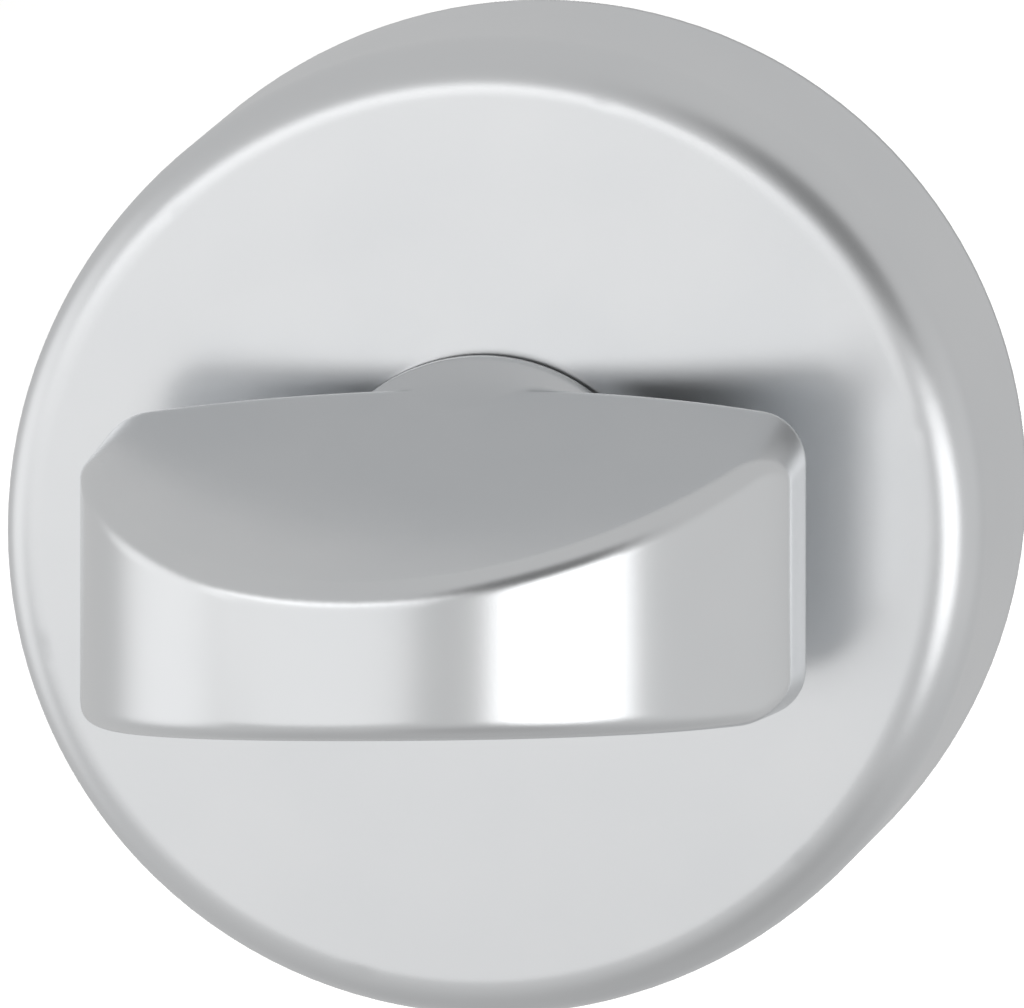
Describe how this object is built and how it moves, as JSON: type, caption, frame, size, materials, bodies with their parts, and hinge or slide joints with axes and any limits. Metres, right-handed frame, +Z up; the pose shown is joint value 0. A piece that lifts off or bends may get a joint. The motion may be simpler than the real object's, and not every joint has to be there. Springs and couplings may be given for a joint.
{
  "type": "bathroom thumb turn",
  "caption": "Satin aluminium bathroom thumb turn: a tapering half-round blade on a flared neck turns in a plain round rose and drives a square spindle through the door.",
  "frame": {"origin": "on the turn's axis, in the plane of the door face", "axes": "+Z up, +Y into the door along the turn's axis, -Y out into the room, +X to the right as seen from the room"},
  "size_m": [0.052, 0.072, 0.052],
  "materials": {
    "satin_aluminium": "satin, natural anodised",
    "zinc_casting": "as cast, passivated",
    "plated_steel": "bright zinc plated",
    "spring_steel": "phosphated and oiled",
    "nylon": "moulded, natural"
  },
  "bodies": {
    "rose": {"rose_cover": "satin_aluminium", "base": "zinc_casting", "cover_snap_ring": "spring_steel", "fixing_screws": "plated_steel", "bearing_bush": "nylon", "thrust_washer": "plated_steel"},
    "turn": {"thumb_turn": "satin_aluminium", "spindle": "plated_steel", "spindle_pin": "spring_steel", "retaining_ring": "spring_steel", "spring_washer": "spring_steel"}
  },
  "joints": [
    {"name": "quarter_turn", "type": "hinge", "parent": "rose", "child": "turn", "pos_m": [0, 0, 0], "axis": [0, -1, 0], "range_deg": [0, 90]}
  ]
}
